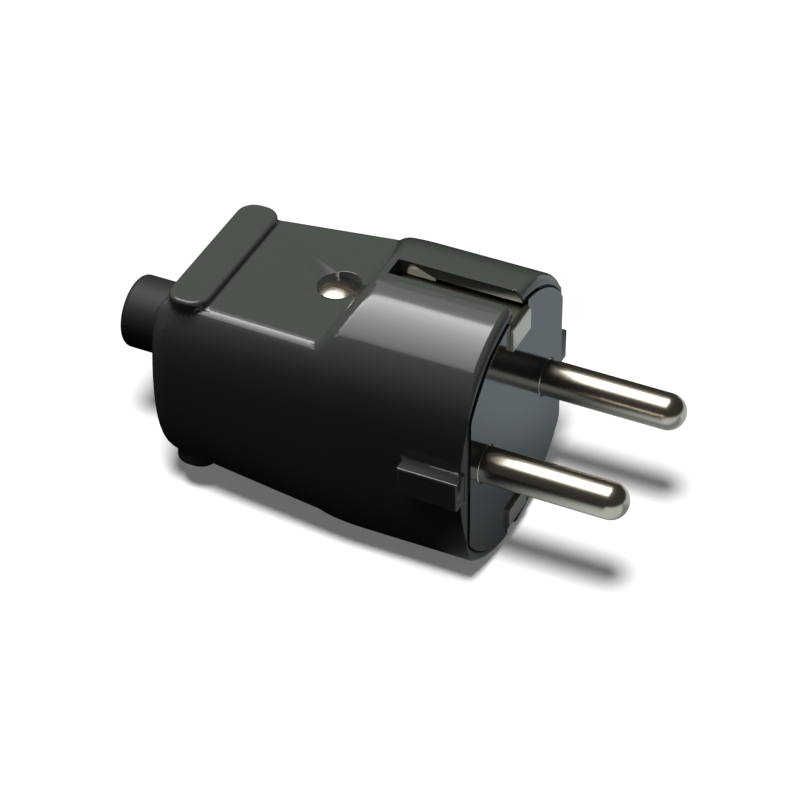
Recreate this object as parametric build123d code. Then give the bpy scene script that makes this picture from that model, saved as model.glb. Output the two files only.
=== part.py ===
from build123d import *
from math import radians, tan
import os

# A straight rewirable two-pole plug with side earth contacts, in millimetres.
# X runs out along the pins, Y across them and Z up. The origin is the middle of
# the face that meets the socket, half-way between the pins.

# Pins
pin_dia = 4.8
pin_spacing = 19.0
pin_reach = 19.0
pin_root_dia = 5.2
pin_boss_dia = 8.6
head_length = 8.0
head_width = 6.0
head_height = 7.0
head_chamfer = 0.5
wire_bore_dia = 3.0

# Collar, the round front of the housing that enters the socket
collar_dia = 37.5
collar_width = 30.3
collar_length = 18.0
collar_edge = 2.0
rim_setback = 0.25
rim_round = 1.1

# Rear half of the housing
body_length = 45.8
rear_dia = 31.4
rear_width = 27.0
flat_height_front = 26.8
flat_height_rear = 24.0
shoulder_slope = 54.0
shoulder_top_round = 1.5
rear_corner_round = 3.0
rear_edge_round = 4.5
flat_edge_round = 1.2
taper_blend = 40.0
wall = 1.9

# Key blocks on the collar's flats
key_length = 8.1
key_height = 4.2
key_proud = 2.1
key_setback = 0.5
key_round = 0.3

# Grip bars across the top and the bottom
bar_width = 5.6
bar_span = 22.8
bar_proud = 1.1
bar_depth = 4.0
bar_from_rear = 5.0
bar_end_round = 2.4
bar_edge_round = 0.5

# Earth grooves and the strip that lies behind them
groove_width = 3.2
groove_length = 17.0
strip_width = 5.4
strip_thick = 0.8
strip_below_seat = 0.8
strip_bend = 0.3
tab_drop = 3.6
tab_proud = 0.45

# Insert, the pin carrier
rim_wall = 1.55
rim_side_wall = 0.95
insert_edge = 1.6
insert_clear = 0.05
fit_gap = 0.1
face_thick = 3.0
skirt_length = 12.0
skirt_wall = 1.4
rail_width = 7.0
rail_height = 3.2
web_thick = 1.8
heads_ahead = 5.5
deck_thick = 2.0
deck_width = 24.0
tongue_width = 19.0
deck_end = 40.0
retainer_thick = 1.8
retainer_lip = 1.4
retainer_hole_dia = 3.8

# Housing screw, its recess, its nut and the post on the insert that holds the nut
housing_screw_at = 24.6
recess_dia = 5.6
recess_depth = 2.2
screw_hole_dia = 3.3
screw_boss_dia = 9.0
screw_boss_drop = 4.0
screw_head_dia = 4.9
screw_head_height = 1.5
screw_dome = 0.6
screw_dia = 3.0
screw_length = 8.6
screw_slot_width = 0.8
screw_slot_depth = 0.8
nut_width = 5.5
nut_thick = 1.8
nut_below_post = 2.2
post_length = 8.0
post_width = 9.4
post_leg = 1.3
post_block = 6.2

# Terminal, earth and clamp screws
terminal_screw_dia = 3.5
terminal_screw_reach = 2.4
terminal_head_dia = 5.2
terminal_head_height = 1.8
earth_plate_size = 6.0
earth_plate_thick = 1.0
earth_plate_round = 0.8
earth_screw_reach = 1.6
earth_screw_gap = 0.8
earth_head_gap = 0.4
clamp_screw_dia = 2.9
clamp_screw_length = 7.0
clamp_head_dia = 5.0
clamp_head_height = 1.6
slot_width = 0.7
slot_depth = 0.8
screw_tip = 0.4

# Cord clamp
clamp_at = 34.6
clamp_length = 6.0
clamp_spacing = 13.0
clamp_thick = 2.0
clamp_wall = 1.8
clamp_round = 1.2
clamp_boss_dia = 5.6
clamp_boss_height = 5.0
cord_dia = 7.0

# Rubber sleeve round the cord's entry
sleeve_dia = 9.8
sleeve_bore = 7.2
sleeve_reach = 8.4
sleeve_flange_dia = 13.0
sleeve_flange_thick = 1.6
sleeve_round = 0.8

# Sizes that follow from the ones above
collar_r = collar_dia / 2
rear_r = rear_dia / 2
insert_r = collar_r - rim_wall
half_collar = collar_width / 2
half_rear = rear_width / 2
half_insert = half_collar - rim_side_wall
half_pins = pin_spacing / 2
shoulder_run = (collar_r - flat_height_front / 2) / tan(radians(shoulder_slope))
foot_x = -collar_length - shoulder_run
rear_inside = -(body_length - wall)
deck_top = -head_height / 2
deck_low = deck_top - deck_thick
strip_height = insert_r - strip_below_seat
rail_top = strip_height - strip_thick
boss_length = collar_length - heads_ahead
heads_back = -boss_length - head_length
retainer_back = heads_back - retainer_thick
bridge_back = heads_back + earth_head_gap + terminal_head_height + earth_plate_thick
bridge_front = bridge_back + strip_thick
earth_screw_length = strip_thick + earth_plate_thick + earth_screw_reach
web_back = bridge_back - earth_plate_thick + earth_screw_length + earth_screw_gap
half_slot = strip_width / 2 + fit_gap

# How far a cut runs past a face, how near an edge lies to its place, and a size past them all
past = 1.0
near = 0.4
hair = 0.04
big = 60.0


def flat_z(x):
    """Height of the rear half's top above the axis at the place x."""
    share = (foot_x - x) / (foot_x + body_length)
    return (flat_height_front + (flat_height_rear - flat_height_front) * share) / 2


def block(x0, x1, y0, y1, z0, z1):
    """A box between two corners."""
    middle = Pos((x0 + x1) / 2, (y0 + y1) / 2, (z0 + z1) / 2)
    return middle * Box(abs(x1 - x0), abs(y1 - y0), abs(z1 - z0))


def rod_x(radius, x0, x1, y=0.0, z=0.0):
    """A round rod that runs along X."""
    return Pos((x0 + x1) / 2, y, z) * Rot(0, 90, 0) * Cylinder(radius, abs(x1 - x0))


def rod_z(radius, z0, z1, x=0.0, y=0.0):
    """A round rod that runs along Z."""
    return Pos(x, y, (z0 + z1) / 2) * Cylinder(radius, abs(z1 - z0))


def d_shape(radius, half_width, corner):
    """A circle with two flat sides and softened corners, seen along X."""
    outline = Circle(radius) & Rectangle(2 * half_width, 3 * radius)
    return fillet(outline.vertices(), corner)


def d_slab(radius, half_width, corner, x0, x1):
    """The same shape drawn out along X."""
    low = min(x0, x1)
    return extrude(Plane.YZ.offset(low) * d_shape(radius, half_width, corner), amount=abs(x1 - x0))


def along(front_value, rear_value, x):
    """A size that tapers from the end of the collar to the rear, at the place x."""
    share = (-x - collar_length) / (body_length - collar_length)
    return front_value + (rear_value - front_value) * share


def mirrored(upper):
    """Points of a half outline with their mirror image, in order round the outline."""
    return upper + [(x, -y) for x, y in reversed(upper)]


def tapered_blank(inset, front, rear):
    """The round collar and its tapered tail, with flats left and right."""
    spin = [
        (front, 0),
        (front, collar_r - inset),
        (-collar_length, collar_r - inset),
        (rear, along(collar_r, rear_r, rear) - inset),
        (rear, 0),
    ]
    outline = FilletPolyline(*spin, radius=[0, 0, taper_blend, 0, 0], close=True)
    turned = revolve(Plane.XZ * make_face(outline), Axis.X)
    side = [
        (big, half_collar - inset),
        (-collar_length, half_collar - inset),
        (rear - past, along(half_collar, half_rear, rear - past) - inset),
    ]
    radii = [0, taper_blend, 0, 0, taper_blend, 0]
    plan = make_face(FilletPolyline(*mirrored(side), radius=radii, close=True))
    return turned & extrude(plan, amount=big, both=True)


def side_profile(inset, rear):
    """The sloping shoulders and the flats of the rear half, seen from the side."""
    rise = (big - flat_z(foot_x)) * shoulder_run / (collar_r - flat_z(foot_x))
    upper = [
        (big, big),
        (foot_x + rise, big),
        (foot_x, flat_z(foot_x) - inset),
        (rear - past, flat_z(rear - past) - inset),
    ]
    face = Plane.XZ * make_face(Polyline(*mirrored(upper), close=True))
    return extrude(face, amount=big, both=True)


def rear_rounding():
    """Two views of the rear end with their rounded corners, a hair outside the faces."""
    start = foot_x - past
    tall = [
        (big, big),
        (start, big),
        (start, flat_z(start) + hair),
        (-body_length, flat_z(-body_length) + hair),
    ]
    radii = [0, 0, 0, rear_edge_round, rear_edge_round, 0, 0, 0]
    seen_from_side = Plane.XZ * make_face(FilletPolyline(*mirrored(tall), radius=radii, close=True))
    wide = [
        (big, big),
        (start, big),
        (start, along(half_collar, half_rear, start) + hair),
        (-body_length, half_rear + hair),
    ]
    radii = [0, 0, 0, rear_corner_round, rear_corner_round, 0, 0, 0]
    seen_from_above = make_face(FilletPolyline(*mirrored(wide), radius=radii, close=True))
    return extrude(seen_from_side, amount=big, both=True) & extrude(seen_from_above, amount=big, both=True)


def long_edges(shape):
    """The four edges where the flats meet the round sides."""
    found = []
    for edge in shape.edges():
        middle = edge @ 0.5
        on_corner = abs(middle.Y) > half_rear / 2 and abs(middle.Z) > collar_r / 4
        if on_corner and -body_length - past < middle.X < -rim_setback - past:
            found.append(edge)
    return found


def shoulder_edges(shape):
    """The edges at the top of both shoulders."""
    found = []
    for edge in shape.edges():
        middle = edge @ 0.5
        on_slope = foot_x + near < middle.X < -collar_length + near
        if on_slope and abs(middle.Z) > flat_z(foot_x) and edge.geom_type != GeomType.CIRCLE:
            found.append(edge)
    return found


def flat_edges(shape):
    """The long edges of the flats on the rear half."""
    found = []
    for edge in shape.edges():
        middle = edge @ 0.5
        on_flat = abs(abs(middle.Z) - flat_z(middle.X)) < hair and middle.X < foot_x - past
        if on_flat and abs(middle.Y) > half_rear / 2 and edge.length > flat_height_rear / 2:
            found.append(edge)
    return found


def outer_body():
    """The housing's outside, solid."""
    front = -rim_setback
    past_rear = -body_length - past
    blank = tapered_blank(0.0, front, past_rear).solids()[0]
    blank = blank.fillet(collar_edge, long_edges(blank))
    body = (blank & side_profile(0.0, past_rear)).solids()[0]
    body = body.fillet(shoulder_top_round, shoulder_edges(body))
    body = body.fillet(flat_edge_round, flat_edges(body))
    body = body.fillet(rim_round, body.faces().sort_by(Axis.X)[-1].edges())
    return body & rear_rounding()


def make_bar(side):
    """One grip bar: a pad with rounded ends that follows the sloping flat."""
    x = -body_length + bar_from_rear
    pad = Pos(x, 0) * RectangleRounded(bar_width, bar_span, bar_end_round)
    top = flat_z(x) + bar_proud
    bar = extrude(Plane.XY.offset(top - bar_depth) * pad, amount=bar_depth)
    rim = bar.faces().sort_by(Axis.Z)[-1].edges()
    bar = fillet(rim, bar_edge_round)
    return bar if side > 0 else bar.mirror(Plane.XY)


def make_key(side):
    """One key block on a flat of the collar."""
    front = -key_setback
    outer = half_collar + key_proud
    root = half_collar - wall / 2
    key = block(front - key_length, front, root, outer, -key_height / 2, key_height / 2)
    rim = key.faces().sort_by(Axis.Y)[-1].edges()
    key = fillet(rim, key_round)
    return key if side > 0 else key.mirror(Plane.XZ)


def make_housing():
    body = Part() + outer_body()
    for side in (1, -1):
        body += make_bar(side)
        body += make_key(side)
    hollow = tapered_blank(wall, -skirt_length, rear_inside) & side_profile(wall, rear_inside)
    seat = d_slab(insert_r, half_insert, insert_edge, past, -skirt_length)
    body -= hollow
    body -= seat
    for side in (1, -1):
        groove_top = side * (collar_r + past)
        floor = side * (strip_height - strip_thick)
        body -= block(past, -groove_length, -groove_width / 2, groove_width / 2, floor, groove_top)
    x = -housing_screw_at
    inner = flat_z(x) - screw_boss_drop
    body += rod_z(screw_boss_dia / 2, inner, flat_z(x) - wall / 2, x)
    body -= rod_z(recess_dia / 2, flat_z(x) - recess_depth, flat_z(x) + past, x)
    body -= rod_z(screw_hole_dia / 2, inner - past, flat_z(x), x)
    body -= rod_x(sleeve_dia / 2, -body_length - past, rear_inside + past)
    return body


def make_pin(side):
    """A turned pin whose thicker root fills the insert's boss, with a square head behind."""
    y = side * half_pins
    tip = pin_reach - pin_dia / 2
    step = (pin_root_dia - pin_dia) / 2
    outline = [
        (-boss_length, 0),
        (-boss_length, pin_root_dia / 2),
        (-step, pin_root_dia / 2),
        (0, pin_dia / 2),
        (tip, pin_dia / 2),
        (tip, 0),
    ]
    turned = Pos(0, y) * revolve(Plane.XZ * make_face(Polyline(*outline, close=True)), Axis.X)
    dome = Pos(tip, y, 0) * Sphere(pin_dia / 2)
    head = block(
        heads_back,
        -boss_length,
        y - head_width / 2,
        y + head_width / 2,
        -head_height / 2,
        head_height / 2,
    )
    head = chamfer(head.edges().filter_by(Axis.X), head_chamfer)
    pin = turned + dome + head
    pin -= rod_x(wire_bore_dia / 2, heads_back - past, -boss_length - past, y)
    pin -= rod_z(terminal_screw_dia / 2, 0.0, head_height, terminal_x(), y)
    return pin


def terminal_x():
    """Place of the terminal screws along the pins' heads."""
    return -boss_length - head_length / 2


def slotted_screw(shank_dia, length, head_dia, head_height, dome, slot_w, slot_d):
    """A slotted screw standing on its tip, with the underside of its head at z = 0."""
    shank = rod_z(shank_dia / 2, -length, 0.0)
    shank = chamfer(shank.faces().sort_by(Axis.Z)[0].edges(), screw_tip)
    head = rod_z(head_dia / 2, 0.0, head_height)
    top = head_height
    if dome > 0:
        reach = head_dia / 2
        ball = (reach * reach + dome * dome) / (2 * dome)
        cap = Pos(0, 0, head_height + dome - ball) * Sphere(ball)
        cap = cap & rod_z(reach, head_height, head_height + dome)
        head += cap
        top = head_height + dome
    screw = shank + head
    screw -= block(-head_dia, head_dia, -slot_w / 2, slot_w / 2, top - slot_d, top + past)
    return screw


def make_earth_contact():
    """One bent strip: a tab on the face, an arm in each groove and a bridge behind the face."""
    outer = [
        (tab_proud, strip_height - tab_drop),
        (tab_proud, strip_height),
        (bridge_back, strip_height),
    ]
    inner = [
        (tab_proud - strip_thick, strip_height - tab_drop),
        (tab_proud - strip_thick, strip_height - strip_thick),
        (bridge_front, strip_height - strip_thick),
    ]
    bend_out = strip_bend + strip_thick
    rounds = [0, bend_out, bend_out, bend_out, bend_out, 0]
    rounds += [0, strip_bend, strip_bend, strip_bend, strip_bend, 0]
    ribbon = FilletPolyline(*mirrored(outer), *reversed(mirrored(inner)), radius=rounds, close=True)
    strip = extrude(Plane.XZ * make_face(ribbon), amount=strip_width / 2, both=True)
    return strip - rod_x(terminal_screw_dia / 2, bridge_back - past, bridge_front + past)


def make_rail():
    """The upper rail that the strip lies on, rounded where the strip turns down behind it."""
    rail_end = bridge_front + fit_gap
    outline = [
        (-face_thick, rail_top - rail_height),
        (-face_thick, rail_top),
        (rail_end, rail_top),
        (rail_end, rail_top - rail_height),
    ]
    side_view = FilletPolyline(*outline, radius=[0, 0, strip_bend + fit_gap, 0], close=True)
    return extrude(Plane.XZ * make_face(side_view), amount=rail_width / 2, both=True)


def make_strip_slot():
    """The upper slot for the strip and its tab, cut from the insert's face and skirt."""
    back = tab_proud - strip_thick
    tab_low = strip_height - tab_drop - fit_gap
    outline = [
        (past, tab_low),
        (back, tab_low),
        (back, rail_top),
        (-skirt_length - past, rail_top),
        (-skirt_length - past, collar_r),
        (past, collar_r),
    ]
    side_view = FilletPolyline(*outline, radius=[0, 0, strip_bend + fit_gap, 0, 0, 0], close=True)
    return extrude(Plane.XZ * make_face(side_view), amount=half_slot, both=True)


def make_insert():
    plate = d_slab(insert_r - insert_clear, half_insert - insert_clear, insert_edge, 0.0, -skirt_length)
    body = plate - d_slab(
        insert_r - skirt_wall, half_insert - skirt_wall, insert_edge, -face_thick, -skirt_length - past
    )
    rail = make_rail()
    slot = make_strip_slot()
    body += rail
    body += rail.mirror(Plane.XY)
    boss_side = half_collar - wall - fit_gap
    for side in (1, -1):
        boss = rod_x(pin_boss_dia / 2, -face_thick, -boss_length, side * half_pins)
        body += boss & block(-face_thick, -boss_length, -boss_side, boss_side, -big, big)
    web_high = rail_top - rail_height / 2
    body += block(-face_thick, web_back, -web_thick / 2, web_thick / 2, -web_high, web_high)
    body += make_deck()
    body += make_post()
    body -= slot
    body -= slot.mirror(Plane.XY)
    for side in (1, -1):
        body -= rod_x(pin_root_dia / 2, past, -boss_length - past, side * half_pins)
    return body


def make_deck():
    """The shelf behind the face that carries the terminals and the cord clamp."""
    split = retainer_back - fit_gap
    wide = block(-face_thick, split, -deck_width / 2, deck_width / 2, deck_low, deck_top)
    tongue = block(split, -deck_end, -tongue_width / 2, tongue_width / 2, deck_low, deck_top)
    deck = wide + tongue
    deck -= block(
        bridge_back - fit_gap, bridge_front + fit_gap, -half_slot, half_slot, deck_low - past, deck_top + past
    )
    boss_top = deck_top + clamp_boss_height
    for side in (1, -1):
        y = side * clamp_spacing / 2
        deck += rod_z(clamp_boss_dia / 2, deck_top, boss_top, -clamp_at, y)
        deck -= rod_z(clamp_screw_dia / 2, deck_low - past, boss_top + past, -clamp_at, y)
    return deck


def post_top():
    """Top of the nut post, just under the boss that hangs from the housing's roof."""
    return flat_z(-housing_screw_at) - screw_boss_drop - fit_gap


def make_post():
    """The block that holds the nut, on two legs behind the pins' retainer."""
    x = -housing_screw_at
    front = x + post_length / 2
    back = x - post_length / 2
    half = post_width / 2
    top = post_top()
    low = top - post_block
    post = block(back, front, -half, half, low, top)
    for side in (1, -1):
        post += block(back, retainer_back - fit_gap, side * (half - post_leg), side * half, deck_top, low)
    nut_top = top - nut_below_post
    half_nut = nut_width / 2
    post -= block(back - past, x + half_nut, -half_nut, half_nut, nut_top - nut_thick, nut_top)
    post -= rod_z(screw_hole_dia / 2, low - past, top + past, x)
    return post


def make_retainer():
    """The cross piece that keeps the pins from sliding back."""
    half = deck_width / 2
    top = deck_top + head_height
    retainer = block(retainer_back, heads_back, -half, half, deck_top, top)
    half_gap = post_width / 2 + 3 * fit_gap
    front = heads_back + past
    back = retainer_back - past
    retainer -= block(back, front, -half_gap, half_gap, deck_top + retainer_lip, top + past)
    for side in (1, -1):
        retainer -= rod_x(retainer_hole_dia / 2, back, front, side * half_pins)
    return retainer


def make_earth_plate():
    half = earth_plate_size / 2
    plate_back = bridge_back - earth_plate_thick
    plate = block(plate_back, bridge_back, -half, half, -half, half)
    plate = fillet(plate.edges().filter_by(Axis.X), earth_plate_round)
    return plate - rod_x(terminal_screw_dia / 2, plate_back - past, bridge_back + past)


def make_clamp():
    """The saddle that is screwed down over the cord."""
    seat = deck_top + clamp_boss_height
    back = -clamp_at - clamp_length / 2
    front = -clamp_at + clamp_length / 2
    reach = clamp_spacing / 2 + clamp_boss_dia / 2
    bar = block(back, front, -reach, reach, seat, seat + clamp_thick)
    bar = fillet(bar.edges().filter_by(Axis.Z), clamp_round)
    arch = rod_x(cord_dia / 2 + clamp_wall, back, front)
    arch = arch & block(back, front, -reach, reach, seat, cord_dia)
    clamp = bar + arch
    clamp -= rod_x(cord_dia / 2, back - past, front + past)
    for side in (1, -1):
        y = side * clamp_spacing / 2
        clamp -= rod_z(clamp_screw_dia / 2, seat - past, seat + clamp_thick + past, -clamp_at, y)
    return clamp


def make_sleeve():
    """A rubber bush, held by its flange inside the rear wall."""
    end = -body_length - sleeve_reach
    tube = rod_x(sleeve_dia / 2, end, rear_inside)
    tube = fillet(tube.faces().sort_by(Axis.X)[0].edges(), sleeve_round)
    flange_front = rear_inside + sleeve_flange_thick
    sleeve = tube + rod_x(sleeve_flange_dia / 2, rear_inside, flange_front)
    return sleeve - rod_x(sleeve_bore / 2, end - past, flange_front + past)


def make_nut():
    """The square nut that slides into the post from behind."""
    top = post_top() - nut_below_post
    half = nut_width / 2
    x = -housing_screw_at
    nut = block(x - half, x + half, -half, half, top - nut_thick, top)
    return nut - rod_z(screw_dia / 2, top - nut_thick - past, top + past, x)


def main():
    nodes = {
        "housing": make_housing(),
        "insert": make_insert(),
        "pin_retainer": make_retainer(),
        "earth_contact": make_earth_contact(),
        "earth_clamp_plate": make_earth_plate(),
        "housing_nut": make_nut(),
        "cord_clamp": make_clamp(),
        "cord_sleeve": make_sleeve(),
    }
    seat = Pos(-housing_screw_at, 0, flat_z(-housing_screw_at) - recess_depth)
    domed_head = (screw_head_dia, screw_head_height, screw_dome, screw_slot_width, screw_slot_depth)
    terminal_head = (terminal_head_dia, terminal_head_height, 0.0, slot_width, slot_depth)
    clamp_head = (clamp_head_dia, clamp_head_height, 0.0, slot_width, slot_depth)
    nodes["housing_screw"] = seat * slotted_screw(screw_dia, screw_length, *domed_head)
    for name, side in (("left", 1), ("right", -1)):
        nodes["pin_" + name] = make_pin(side)
        nodes["terminal_screw_" + name] = (
            Pos(terminal_x(), side * half_pins, head_height / 2)
            * slotted_screw(terminal_screw_dia, terminal_screw_reach, *terminal_head)
        )
        nodes["cord_clamp_screw_" + name] = (
            Pos(-clamp_at, side * clamp_spacing / 2, deck_top + clamp_boss_height + clamp_thick)
            * slotted_screw(clamp_screw_dia, clamp_screw_length, *clamp_head)
        )
    nodes["earth_terminal_screw"] = (
        Pos(bridge_back - earth_plate_thick, 0, 0)
        * Rot(0, -90, 0)
        * slotted_screw(terminal_screw_dia, earth_screw_length, *terminal_head)
    )
    os.makedirs("parts", exist_ok=True)
    for name, shape in nodes.items():
        shape.label = name
        export_step(shape, "parts/" + name + ".step")


main()
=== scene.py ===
import math

import bmesh
import bpy
from mathutils import Matrix, Vector


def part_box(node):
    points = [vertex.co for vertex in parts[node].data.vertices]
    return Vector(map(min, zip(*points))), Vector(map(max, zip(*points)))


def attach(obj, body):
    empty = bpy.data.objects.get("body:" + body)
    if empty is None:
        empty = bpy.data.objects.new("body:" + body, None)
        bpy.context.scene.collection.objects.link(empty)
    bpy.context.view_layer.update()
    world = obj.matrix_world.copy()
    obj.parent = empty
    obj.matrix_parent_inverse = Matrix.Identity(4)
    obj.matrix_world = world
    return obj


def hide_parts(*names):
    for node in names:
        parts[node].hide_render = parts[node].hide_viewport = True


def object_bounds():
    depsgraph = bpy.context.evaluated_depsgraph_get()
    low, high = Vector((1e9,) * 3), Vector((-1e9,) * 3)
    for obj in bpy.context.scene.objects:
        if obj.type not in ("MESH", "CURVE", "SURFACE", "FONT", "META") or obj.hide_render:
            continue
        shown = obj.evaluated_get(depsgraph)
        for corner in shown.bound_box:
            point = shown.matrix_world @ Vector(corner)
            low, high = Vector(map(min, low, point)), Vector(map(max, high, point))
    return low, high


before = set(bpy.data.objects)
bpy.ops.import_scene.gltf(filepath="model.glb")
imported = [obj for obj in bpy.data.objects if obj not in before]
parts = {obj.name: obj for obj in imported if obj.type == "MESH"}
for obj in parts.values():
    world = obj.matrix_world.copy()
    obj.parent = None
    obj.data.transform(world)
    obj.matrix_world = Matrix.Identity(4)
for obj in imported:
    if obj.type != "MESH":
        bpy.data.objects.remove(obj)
cad_low, cad_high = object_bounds()
scene = bpy.context.scene


# Housing: one thick-walled moulding of black polyamide, collar, grip bars and all. It is
# glossy from a polished steel mould, with the faint long waves of a thick wall that cools.
# Its outer corners are drawn in here to the full soft radii that such a mould has.
MILLIMETRE = 0.001
COLLAR_RADIUS = 18.75 * MILLIMETRE
COLLAR_END = -18.0 * MILLIMETRE
REAR_RADIUS = 15.7 * MILLIMETRE
HALF_COLLAR_WIDTH = 15.15 * MILLIMETRE
HALF_REAR_WIDTH = 13.5 * MILLIMETRE
HALF_FLAT_FRONT = 13.4 * MILLIMETRE
HALF_FLAT_REAR = 12.0 * MILLIMETRE
SHOULDER_SLOPE = math.radians(54)
TAPER_BLEND_RADIUS = 40.0 * MILLIMETRE
SIDE_BLEND = 4.5 * MILLIMETRE
FLAT_BLEND = 1.1 * MILLIMETRE
REAR_BLEND = 3.4 * MILLIMETRE
HALF_RECESS_STRIP = 3.5 * MILLIMETRE
# A vertex is on the outer form if it lies between these two depths and its faces look
# outwards at least this much. Faces smaller than a sliver are not asked.
STANDS_PROUD = 0.08 * MILLIMETRE
LIES_DEEP = -1.6 * MILLIMETRE
FACES_OUT = 0.2
SLIVER = 0.0004 * MILLIMETRE ** 2
PROBE = 0.01 * MILLIMETRE
# The outer form is divided down to this step, and what lies no deeper than a facet moves.
SKIN_STEP = 0.9 * MILLIMETRE
SKIN_PASSES = 5
FACET_DEPTH = 0.025 * MILLIMETRE
SAME_PLACE = 0.001 * MILLIMETRE
NO_WIDTH = 0.004 * MILLIMETRE
CREASE = math.radians(32)
HOUSING_BLACK = "#40443f"
HOUSING_ROUGHNESS = 0.12
HOUSING_IOR = 1.5
COOLING_WAVE = 9.0 * MILLIMETRE
COOLING_WAVE_DEPTH = 0.02 * MILLIMETRE
COOLING_WAVE_LAYERS = 1.0
COOLING_WAVE_BREAKUP = 0.4
MOULD_GRAIN = 0.35 * MILLIMETRE
MOULD_GRAIN_DEPTH = 0.0008 * MILLIMETRE
MOULD_GRAIN_LAYERS = 2.0
MOULD_GRAIN_BREAKUP = 0.6


def linear(code):
    """An sRGB hex colour as linear values with an alpha of one."""
    channels = []
    for start in (1, 3, 5):
        value = int(code[start:start + 2], 16) / 255
        channels.append(value / 12.92 if value <= 0.04045 else ((value + 0.055) / 1.055) ** 2.4)
    return (*channels, 1.0)


def new_material(name):
    """A material that has no nodes yet."""
    material = bpy.data.materials.new(name)
    material.use_nodes = True
    material.node_tree.nodes.clear()
    return material


def add_node(material, kind, inputs, **settings):
    """Adds one shader node, with its settings, its input values and its input links."""
    node = material.node_tree.nodes.new(kind)
    for name, value in settings.items():
        setattr(node, name, value)
    for name, value in inputs.items():
        if isinstance(value, bpy.types.NodeSocket):
            material.node_tree.links.new(value, node.inputs[name])
        else:
            node.inputs[name].default_value = value
    return node


rear_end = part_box("housing")[0].x
shoulder_foot = COLLAR_END - (COLLAR_RADIUS - HALF_FLAT_FRONT) / math.tan(SHOULDER_SLOPE)


def blended(first, second, width):
    """The larger of two depths, with a soft change from one to the other."""
    overlap = max(width - abs(first - second), 0.0)
    return max(first, second) + overlap * overlap / (4 * width)


def taper(front, rear, start, x):
    """A half size that bends in at the place start and narrows evenly to the rear end."""
    slope = (front - rear) / (start - rear_end)
    return front - slope * blended(start - x, 0.0, TAPER_BLEND_RADIUS * slope / 2)


def above_skin(point, soften):
    """How far a point lies outside the housing's form, with its corners sharp or soft."""
    x, y, z = point.x, abs(point.y), abs(point.z)
    turned = math.hypot(y, z) - taper(COLLAR_RADIUS, REAR_RADIUS, COLLAR_END, x)
    beside = y - taper(HALF_COLLAR_WIDTH, HALF_REAR_WIDTH, COLLAR_END, x)
    flat = z - taper(HALF_FLAT_FRONT, HALF_FLAT_REAR, shoulder_foot, x)
    climb = (x - shoulder_foot) * math.sin(SHOULDER_SLOPE)
    slope = (z - HALF_FLAT_FRONT) * math.cos(SHOULDER_SLOPE) - climb
    behind = rear_end - x
    if not soften:
        return max(turned, beside, min(flat, slope), behind)
    around = blended(blended(turned, beside, SIDE_BLEND), min(flat, slope), FLAT_BLEND)
    return blended(around, behind, REAR_BLEND)


def outward(point):
    """The direction that leads straight out of the soft form at a point."""
    steps = (Vector((PROBE, 0, 0)), Vector((0, PROBE, 0)), Vector((0, 0, PROBE)))
    rises = [above_skin(point + step, True) - above_skin(point - step, True) for step in steps]
    return Vector(rises) / (2 * PROBE)


def on_skin(vertex):
    """Whether a vertex belongs to the outer form, and not to a bar, a key or a hole's wall."""
    if not LIES_DEEP < above_skin(vertex.co, False) < STANDS_PROUD:
        return False
    way = outward(vertex.co)
    faces = [face for face in vertex.link_faces if face.calc_area() > SLIVER]
    return all(face.normal.dot(way) > FACES_OUT for face in faces)


skin = bmesh.new()
skin.from_mesh(parts["housing"].data)
bmesh.ops.remove_doubles(skin, verts=skin.verts, dist=SAME_PLACE)
for _ in range(SKIN_PASSES):
    skin.normal_update()
    moulded = set(filter(on_skin, skin.verts))
    long_edges = [
        edge for edge in skin.edges
        if edge.calc_length() > SKIN_STEP and not moulded.isdisjoint(edge.verts)
    ]
    bmesh.ops.subdivide_edges(skin, edges=long_edges, cuts=1)
    bmesh.ops.triangulate(skin, faces=[face for face in skin.faces if len(face.verts) > 3])
    bmesh.ops.dissolve_degenerate(skin, dist=NO_WIDTH, edges=skin.edges)
skin.normal_update()
for vertex in list(filter(on_skin, skin.verts)):
    depth = above_skin(vertex.co, True)
    by_recess = abs(vertex.co.y) < HALF_RECESS_STRIP and vertex.co.x > rear_end + REAR_BLEND
    if depth > -FACET_DEPTH and not by_recess:
        way = outward(vertex.co)
        vertex.co -= way * (depth / way.length_squared)
skin_mesh = bpy.data.meshes.new("housing_skin")
skin.to_mesh(skin_mesh)
skin.free()
skin_mesh.polygons.foreach_set("use_smooth", [True] * len(skin_mesh.polygons))
skin_mesh.set_sharp_from_angle(angle=CREASE)
housing = bpy.data.objects.new("housing_skin", skin_mesh)
scene.collection.objects.link(housing)
even_shading = housing.modifiers.new("even_shading", "WEIGHTED_NORMAL")
even_shading.keep_sharp = True
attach(housing, "root")
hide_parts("housing")


def cooling_waves(material, place):
    """Adds the long shallow waves that a thick wall takes on as it cools."""
    waves = add_node(material, "ShaderNodeTexNoise", {
        "Vector": place.outputs["Object"], "Scale": 1 / COOLING_WAVE,
        "Detail": COOLING_WAVE_LAYERS, "Roughness": COOLING_WAVE_BREAKUP,
    })
    return add_node(material, "ShaderNodeBump", {
        "Height": waves.outputs["Fac"], "Distance": COOLING_WAVE_DEPTH, "Strength": 1.0,
    })


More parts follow.
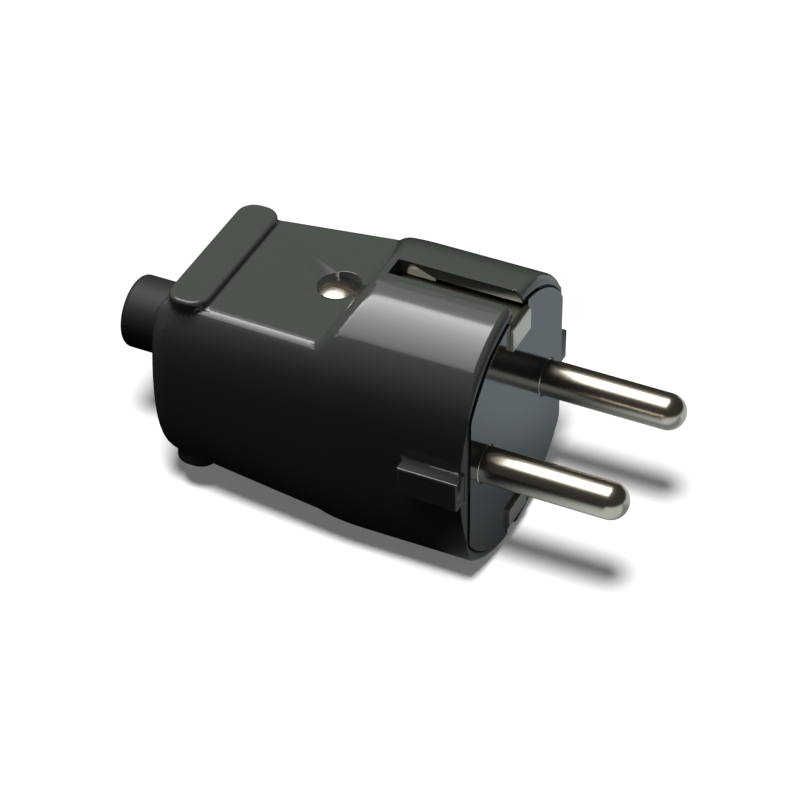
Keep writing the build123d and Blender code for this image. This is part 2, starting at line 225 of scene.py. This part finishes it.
moulded_polyamide = new_material("polished_black_polyamide")
place = add_node(moulded_polyamide, "ShaderNodeTexCoord", {})
wave_bump = cooling_waves(moulded_polyamide, place)
grain = add_node(moulded_polyamide, "ShaderNodeTexNoise", {
    "Vector": place.outputs["Object"], "Scale": 1 / MOULD_GRAIN,
    "Detail": MOULD_GRAIN_LAYERS, "Roughness": MOULD_GRAIN_BREAKUP,
})
grain_bump = add_node(moulded_polyamide, "ShaderNodeBump", {
    "Height": grain.outputs["Fac"], "Distance": MOULD_GRAIN_DEPTH, "Strength": 1.0,
    "Normal": wave_bump.outputs["Normal"],
})
gloss = add_node(moulded_polyamide, "ShaderNodeBsdfPrincipled", {
    "Base Color": linear(HOUSING_BLACK), "Roughness": HOUSING_ROUGHNESS, "IOR": HOUSING_IOR,
    "Normal": grain_bump.outputs["Normal"],
})
add_node(moulded_polyamide, "ShaderNodeOutputMaterial", {"Surface": gloss.outputs["BSDF"]})
skin_mesh.materials.append(moulded_polyamide)


# Insert: the pin carrier, a second moulding of black polyamide, pressed into the collar.
# Its face was moulded against a lapped plate and is left bare and mirror smooth.
INSERT_BLACK = "#1d2022"
INSERT_ROUGHNESS = 0.09
INSERT_IOR = 1.5


def dress(node_name, material):
    """Gives a piece of the frame its finish."""
    data = parts[node_name].data
    data.materials.clear()
    data.materials.append(material)


lapped_polyamide = new_material("lapped_black_polyamide")
place = add_node(lapped_polyamide, "ShaderNodeTexCoord", {})
wave_bump = cooling_waves(lapped_polyamide, place)
gloss = add_node(lapped_polyamide, "ShaderNodeBsdfPrincipled", {
    "Base Color": linear(INSERT_BLACK), "Roughness": INSERT_ROUGHNESS, "IOR": INSERT_IOR,
    "Normal": wave_bump.outputs["Normal"],
})
add_node(lapped_polyamide, "ShaderNodeOutputMaterial", {"Surface": gloss.outputs["BSDF"]})
dress("insert", lapped_polyamide)


# Pins: turned from brass rod, polished and nickel plated. The plating keeps the faint
# rings that the turning tool left round the shank, and is bright and slightly warm.
NICKEL = "#d4cab8"
PIN_ROUGHNESS = 0.24
TURNING_PITCH = 0.25 * MILLIMETRE
TURNING_DEPTH = 0.0006 * MILLIMETRE
TURNING_WANDER = 1.0
TURNING_LAYERS = 2.0
# The wave texture repeats its bands this many radians to a unit.
BAND_RADIANS = 20

turned_nickel = new_material("polished_nickel_plate")
place = add_node(turned_nickel, "ShaderNodeTexCoord", {})
rings = add_node(turned_nickel, "ShaderNodeTexWave", {
    "Vector": place.outputs["Object"], "Scale": math.tau / BAND_RADIANS / TURNING_PITCH,
    "Distortion": TURNING_WANDER, "Detail": TURNING_LAYERS,
}, wave_type="BANDS", bands_direction="X")
ring_bump = add_node(turned_nickel, "ShaderNodeBump", {
    "Height": rings.outputs["Fac"], "Distance": TURNING_DEPTH, "Strength": 1.0,
})
plating = add_node(turned_nickel, "ShaderNodeBsdfPrincipled", {
    "Base Color": linear(NICKEL), "Metallic": 1.0, "Roughness": PIN_ROUGHNESS,
    "Normal": ring_bump.outputs["Normal"],
})
add_node(turned_nickel, "ShaderNodeOutputMaterial", {"Surface": plating.outputs["BSDF"]})
dress("pin_left", turned_nickel)
dress("pin_right", turned_nickel)


# Earth contact: one strip of hard rolled brass, bent to shape and plated. Rolling
# leaves fine lines along it, which spread its highlights.
STRIP_NICKEL = "#c9c2b2"
STRIP_ROUGHNESS = 0.3

rolled_nickel = new_material("plated_rolled_brass")
plating = add_node(rolled_nickel, "ShaderNodeBsdfPrincipled", {
    "Base Color": linear(STRIP_NICKEL), "Metallic": 1.0, "Roughness": STRIP_ROUGHNESS,
})
add_node(rolled_nickel, "ShaderNodeOutputMaterial", {"Surface": plating.outputs["BSDF"]})
dress("earth_contact", rolled_nickel)


# Screws, nut and terminal plate: cold headed steel with a bright zinc coat, which gives
# a broad soft highlight with a trace of yellow.
ZINC = "#c9c2b4"
ZINC_ROUGHNESS = 0.27

bright_zinc = new_material("zinc_plated_steel")
plating = add_node(bright_zinc, "ShaderNodeBsdfPrincipled", {
    "Base Color": linear(ZINC), "Metallic": 1.0, "Roughness": ZINC_ROUGHNESS,
})
add_node(bright_zinc, "ShaderNodeOutputMaterial", {"Surface": plating.outputs["BSDF"]})
for name in parts:
    if "screw" in name or name in ("housing_nut", "earth_clamp_plate"):
        dress(name, bright_zinc)


# Cord sleeve: a bush of soft black rubber, held by its flange inside the rear wall.
# Rubber keeps the dull bloom of its mould, so it has no clear highlight.
RUBBER_BLACK = "#1e2020"
RUBBER_ROUGHNESS = 0.62
RUBBER_GRAIN = 0.3 * MILLIMETRE
RUBBER_GRAIN_DEPTH = 0.01 * MILLIMETRE
RUBBER_GRAIN_LAYERS = 3.0

soft_rubber = new_material("moulded_black_rubber")
place = add_node(soft_rubber, "ShaderNodeTexCoord", {})
grain = add_node(soft_rubber, "ShaderNodeTexNoise", {
    "Vector": place.outputs["Object"], "Scale": 1 / RUBBER_GRAIN, "Detail": RUBBER_GRAIN_LAYERS,
})
grain_bump = add_node(soft_rubber, "ShaderNodeBump", {
    "Height": grain.outputs["Fac"], "Distance": RUBBER_GRAIN_DEPTH, "Strength": 1.0,
})
rubber = add_node(soft_rubber, "ShaderNodeBsdfPrincipled", {
    "Base Color": linear(RUBBER_BLACK), "Roughness": RUBBER_ROUGHNESS,
    "Normal": grain_bump.outputs["Normal"],
})
add_node(soft_rubber, "ShaderNodeOutputMaterial", {"Surface": rubber.outputs["BSDF"]})
dress("cord_sleeve", soft_rubber)


# Pin retainer and cord clamp: inner mouldings of grey glass-filled polyamide, which
# come out of the mould dull because the glass lies at the surface.
INNER_GREY = "#3f3f3e"
INNER_ROUGHNESS = 0.55

filled_polyamide = new_material("glass_filled_polyamide")
dull = add_node(filled_polyamide, "ShaderNodeBsdfPrincipled", {
    "Base Color": linear(INNER_GREY), "Roughness": INNER_ROUGHNESS,
})
add_node(filled_polyamide, "ShaderNodeOutputMaterial", {"Surface": dull.outputs["BSDF"]})
dress("pin_retainer", filled_polyamide)
dress("cord_clamp", filled_polyamide)


# Floor: a sheet of white paper under the plug, lit by a sun lamp of its own, so that the
# camera sees it white with a short soft shadow. In reflections it shows a painted reflection
# that glows: greyer and cool, with painted shade between the pins and a painted shadow
# that fades it out to the left, so that the black sides stay black.
FLOOR_HALF = 1.5
FLOOR_WHITE = 0.92
FLOOR_GLOW = 0.13
FLOOR_BOUNCE = 0.05
# The tint, edges and levels of the painted reflection; the level between the pins is painted shade.
PAINTED_REFLECTION_TINT = "#ccd9df"
PAINTED_SHADOW_EDGE = (-0.008, 0.012)
PAINTED_PIN_SHADE = 0.42
PAPER_BEHIND = 0.5
PAPER_BEHIND_EDGE = (0.005, 0.025)
PAPER_IN_FRONT = 0.6
PAPER_FRONT_EDGE = (-0.004, -0.014)
SUN_DIRECTION = (0.08, -0.24, 0.6)
SUN_STRENGTH = 3.6
SUN_ANGLE = math.radians(13)

floor_shape = bmesh.new()
bmesh.ops.create_grid(floor_shape, x_segments=1, y_segments=1, size=FLOOR_HALF)
bmesh.ops.translate(floor_shape, verts=floor_shape.verts, vec=(0, 0, cad_low.z))
floor_mesh = bpy.data.meshes.new("floor")
floor_shape.to_mesh(floor_mesh)
floor_shape.free()
floor = bpy.data.objects.new("floor", floor_mesh)
scene.collection.objects.link(floor)

paper = new_material("white_paper_floor")
path = add_node(paper, "ShaderNodeLightPath", {})
place = add_node(paper, "ShaderNodeTexCoord", {})
spot = add_node(paper, "ShaderNodeSeparateXYZ", {"Vector": place.outputs["Object"]})
# Painted shadow and painted shade: the glowing reflection goes dark to the left and dips between
# the pins.
painted_shadow_fade = add_node(paper, "ShaderNodeMapRange", {
    "Value": spot.outputs["X"], "From Min": PAINTED_SHADOW_EDGE[0], "From Max": PAINTED_SHADOW_EDGE[1],
}, interpolation_type="SMOOTHSTEP")
behind = add_node(paper, "ShaderNodeMapRange", {
    "Value": spot.outputs["Y"], "From Min": PAPER_BEHIND_EDGE[0], "From Max": PAPER_BEHIND_EDGE[1],
    "To Min": PAINTED_PIN_SHADE, "To Max": PAINTED_PIN_SHADE + PAPER_BEHIND,
}, interpolation_type="SMOOTHSTEP")
in_front = add_node(paper, "ShaderNodeMapRange", {
    "Value": spot.outputs["Y"], "From Min": PAPER_FRONT_EDGE[0], "From Max": PAPER_FRONT_EDGE[1],
    "To Max": PAPER_IN_FRONT,
}, interpolation_type="SMOOTHSTEP")
painted_pin_shade_across = add_node(paper, "ShaderNodeMath", {
    0: behind.outputs["Result"], 1: in_front.outputs["Result"],
}, operation="ADD")
painted_reflection_level = add_node(paper, "ShaderNodeMath", {
    0: painted_shadow_fade.outputs["Result"], 1: painted_pin_shade_across.outputs["Value"],
}, operation="MULTIPLY")
white = (FLOOR_WHITE, FLOOR_WHITE, FLOOR_WHITE, 1.0)
matt_white = add_node(paper, "ShaderNodeBsdfDiffuse", {"Color": white})
glow = add_node(paper, "ShaderNodeEmission", {"Strength": FLOOR_GLOW})
lit_white = add_node(paper, "ShaderNodeAddShader", {
    0: matt_white.outputs["BSDF"], 1: glow.outputs["Emission"],
})
# The painted reflection: a tinted glow that glossy rays see in place of the lit paper.
painted_reflection = add_node(paper, "ShaderNodeEmission", {
    "Color": linear(PAINTED_REFLECTION_TINT), "Strength": painted_reflection_level.outputs["Value"],
})
dim = (FLOOR_BOUNCE, FLOOR_BOUNCE, FLOOR_BOUNCE, 1.0)
bounce = add_node(paper, "ShaderNodeBsdfDiffuse", {"Color": dim})
unseen = add_node(paper, "ShaderNodeMixShader", {
    0: path.outputs["Is Glossy Ray"], 1: bounce.outputs["BSDF"], 2: painted_reflection.outputs["Emission"],
})
sheet = add_node(paper, "ShaderNodeMixShader", {
    0: path.outputs["Is Camera Ray"], 1: unseen.outputs["Shader"], 2: lit_white.outputs["Shader"],
})
add_node(paper, "ShaderNodeOutputMaterial", {"Surface": sheet.outputs["Shader"]})
floor_mesh.materials.append(paper)

sun_light = bpy.data.lights.new("paper_sun", "SUN")
sun_light.energy = SUN_STRENGTH
sun_light.angle = SUN_ANGLE
paper_sun = bpy.data.objects.new("paper_sun", sun_light)
paper_sun.rotation_mode = "QUATERNION"
paper_sun.rotation_quaternion = Vector(SUN_DIRECTION).to_track_quat("Z", "Y")
scene.collection.objects.link(paper_sun)
paper_only = bpy.data.collections.new("paper_only")
paper_only.objects.link(floor)
paper_sun.light_linking.receiver_collection = paper_only


# Studio: a softbox overhead, brightest along its rear edge, a dim panel behind it, and a
# fill that no reflection shows. They light the plug alone, in a dark room.
SOFTBOX_HEIGHT = 0.6
SOFTBOX_LEFT = -0.5
SOFTBOX_RIGHT = -0.02
SOFTBOX_REAR = 0.173
SOFTBOX_FRONT = -0.33
SOFTBOX_STRIPS = 8
REAR_RADIANCE = 12.5
FRONT_RADIANCE = 1.8
PANEL_DEPTH = 0.18
PANEL_RADIANCE = 1.2
FILL_PLACE = (-0.10, 0.25, 0.7)
FILL_SIZE = 0.3
FILL_RADIANCE = 14.0
ROOM_GREY = 0.04

all_but_paper = bpy.data.collections.new("all_but_paper")
all_but_paper.objects.link(floor)
all_but_paper.collection_objects[0].light_linking.link_state = "EXCLUDE"


def hang_lamp(name, width, depth, radiance, location):
    """Hangs a rectangular lamp that faces straight down and lights all but the paper."""
    lamp = bpy.data.lights.new(name, "AREA")
    lamp.shape = "RECTANGLE"
    lamp.size = width
    lamp.size_y = depth
    lamp.energy = radiance * math.pi * width * depth
    holder = bpy.data.objects.new(name, lamp)
    holder.location = location
    holder.visible_camera = False
    scene.collection.objects.link(holder)
    holder.light_linking.receiver_collection = all_but_paper
    return holder


softbox_width = SOFTBOX_RIGHT - SOFTBOX_LEFT
softbox_middle = (SOFTBOX_LEFT + SOFTBOX_RIGHT) / 2
strip_depth = (SOFTBOX_REAR - SOFTBOX_FRONT) / SOFTBOX_STRIPS
for strip in range(SOFTBOX_STRIPS):
    share = (strip + 0.5) / SOFTBOX_STRIPS
    radiance = REAR_RADIANCE * (FRONT_RADIANCE / REAR_RADIANCE) ** share
    middle = (softbox_middle, SOFTBOX_REAR - (strip + 0.5) * strip_depth, SOFTBOX_HEIGHT)
    hang_lamp(f"softbox_{strip}", softbox_width, strip_depth, radiance, middle)
middle = (softbox_middle, SOFTBOX_REAR + PANEL_DEPTH / 2, SOFTBOX_HEIGHT)
hang_lamp("rear_panel", softbox_width, PANEL_DEPTH, PANEL_RADIANCE, middle)
fill = hang_lamp("fill", FILL_SIZE, FILL_SIZE, FILL_RADIANCE, FILL_PLACE)
fill.visible_glossy = False

world = bpy.data.worlds.new("studio")
scene.world = world
world.use_nodes = True
world.node_tree.nodes.clear()
path = add_node(world, "ShaderNodeLightPath", {})
room = add_node(world, "ShaderNodeBackground", {"Color": (1, 1, 1, 1), "Strength": ROOM_GREY})
white = add_node(world, "ShaderNodeBackground", {"Color": (1, 1, 1, 1), "Strength": 1.0})
air = add_node(world, "ShaderNodeMixShader", {
    0: path.outputs["Is Camera Ray"], 1: room.outputs["Background"], 2: white.outputs["Background"],
})
add_node(world, "ShaderNodeOutputWorld", {"Surface": air.outputs["Shader"]})


# Camera: a long lens that looks down on the near side, at the photograph's angle.
# The pixel is where the middle of the plug's face lies in the 800-pixel frame.
FRAME_PIXELS = 800
FACE_PIXEL = (516.795, 419.664)
FOCAL_PIXELS = 3396.3
FACE_DISTANCE = 0.42567
CAMERA_AZIMUTH = math.radians(25.272)
CAMERA_ELEVATION = math.radians(38.840)
CAMERA_ROLL = math.radians(-0.223)

back = Vector((
    math.sin(CAMERA_AZIMUTH) * math.cos(CAMERA_ELEVATION),
    -math.cos(CAMERA_AZIMUTH) * math.cos(CAMERA_ELEVATION),
    math.sin(CAMERA_ELEVATION),
))
level = Vector((math.cos(CAMERA_AZIMUTH), math.sin(CAMERA_AZIMUTH), 0.0))
upright = back.cross(level)
right = math.cos(CAMERA_ROLL) * level + math.sin(CAMERA_ROLL) * upright
up = math.cos(CAMERA_ROLL) * upright - math.sin(CAMERA_ROLL) * level
across = (FACE_PIXEL[0] - FRAME_PIXELS / 2) * FACE_DISTANCE / FOCAL_PIXELS
above = (FRAME_PIXELS / 2 - FACE_PIXEL[1]) * FACE_DISTANCE / FOCAL_PIXELS

lens = bpy.data.cameras.new("camera")
lens.lens = FOCAL_PIXELS / FRAME_PIXELS * lens.sensor_width
camera = bpy.data.objects.new("camera", lens)
turn = Matrix((right, up, back)).transposed().to_4x4()
camera.matrix_world = Matrix.Translation(back * FACE_DISTANCE - right * across - up * above) @ turn
scene.collection.objects.link(camera)
scene.camera = camera
scene.view_settings.view_transform = "Standard"
